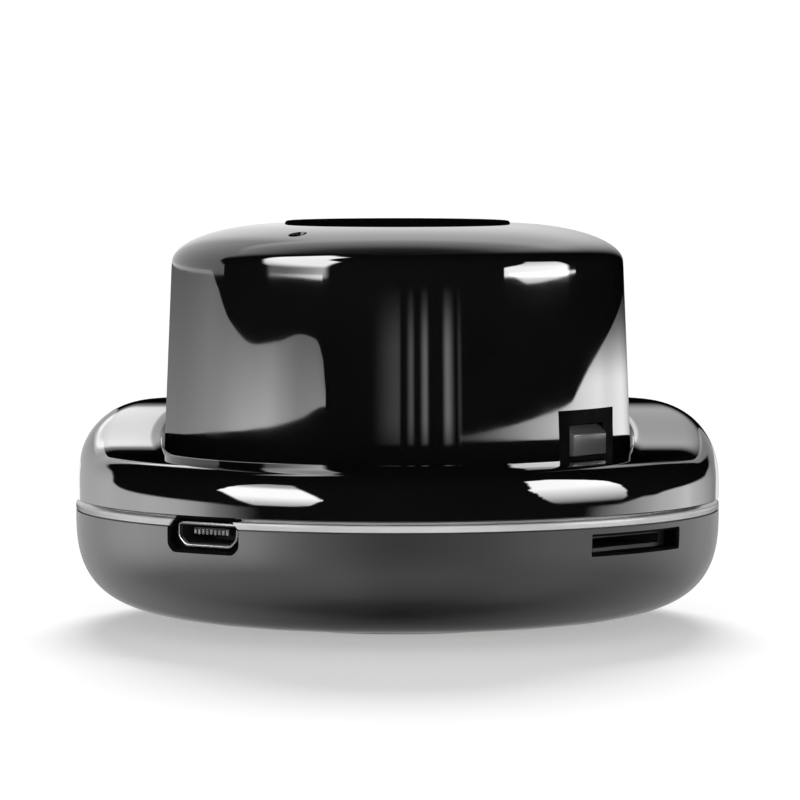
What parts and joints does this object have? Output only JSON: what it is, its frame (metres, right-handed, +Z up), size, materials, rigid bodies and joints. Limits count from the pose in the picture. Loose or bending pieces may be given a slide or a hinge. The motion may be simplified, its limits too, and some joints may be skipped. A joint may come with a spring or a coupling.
{
  "type": "lidar scanner module",
  "caption": "Round lidar scanner module: flared base with micro USB port and card slot, dark window drum with a push key, and a scan head spinning inside.",
  "frame": {"origin": "on the spin axis, at the underside of the foot pad", "axes": "+Z up along the spin axis of the scan head; -Y is the front, between the micro USB port on its left and the card slot on its right"},
  "size_m": [0.067, 0.067, 0.0416],
  "materials": {
    "case_dark": "glossy moulded grey plastic",
    "trim": "satin silver ring",
    "case_gloss": "high-gloss black",
    "window_black": "piano black, infrared-pass",
    "cap_matt": "matt black",
    "rubber": "matt black rubber",
    "brass": "turned",
    "steel": "bright zinc",
    "steel_dark": "dark plated",
    "cast_plate": "blasted",
    "bright_alloy": "turned",
    "copper": "enamelled copper wire",
    "board": "solder mask green",
    "chip": "moulded epoxy black",
    "port_metal": "plated sheet",
    "led": "clear yellow",
    "light_pipe": "smoked clear",
    "flex": "amber polyimide",
    "bezel": "matt black",
    "key": "satin dark grey",
    "head_plastic": "fine matt black",
    "lens": "coated glass"
  },
  "bodies": {
    "base": {"lower_shell": "case_dark", "trim_ring": "trim", "upper_cover": "case_gloss", "scan_window": "window_black", "top_cap": "cap_matt", "window_gasket": "rubber", "foot_pad": "rubber", "mount_inserts": "brass", "case_screws": "steel", "cover_screws": "steel", "chassis_plate": "cast_plate", "bearing_housing": "bright_alloy", "lower_bearing": "steel", "upper_bearing": "steel", "motor_core": "steel_dark", "motor_coils": "copper", "main_board": "board", "board_chips": "chip", "usb_connector": "port_metal", "usb_contacts": "chip", "card_socket": "chip", "port_gaskets": "bezel", "fixed_power_coil": "copper", "index_sensor": "chip", "top_board": "board", "top_board_screws": "steel", "status_led": "led", "light_pipe": "light_pipe", "top_flex_cable": "flex", "button_bezel": "bezel", "button_board": "board", "button_switch": "chip"},
    "scan_head": {"spindle_shaft": "steel", "rotor_cup": "steel_dark", "magnet_ring": "steel_dark", "encoder_ring": "chip", "turning_power_coil": "copper", "head_frame": "head_plastic", "laser_barrel": "brass", "laser_lens": "lens", "receiver_barrel": "head_plastic", "receiver_lens": "lens", "sensor_board": "board", "image_sensor": "chip", "head_screws": "steel", "balance_weight": "brass"},
    "button": {"mode_button": "key"}
  },
  "joints": [
    {"name": "head_spin", "type": "hinge", "parent": "base", "child": "scan_head", "pos_m": [0, 0, 0.01], "axis": [0, 0, 1], "continuous": true},
    {"name": "button_press", "type": "slide", "parent": "base", "child": "button", "axis": [-0.809, 0.5878, 0], "range_m": [0, 0.0005], "stiffness_N_per_m": 600, "springref_m": -0.0003}
  ]
}
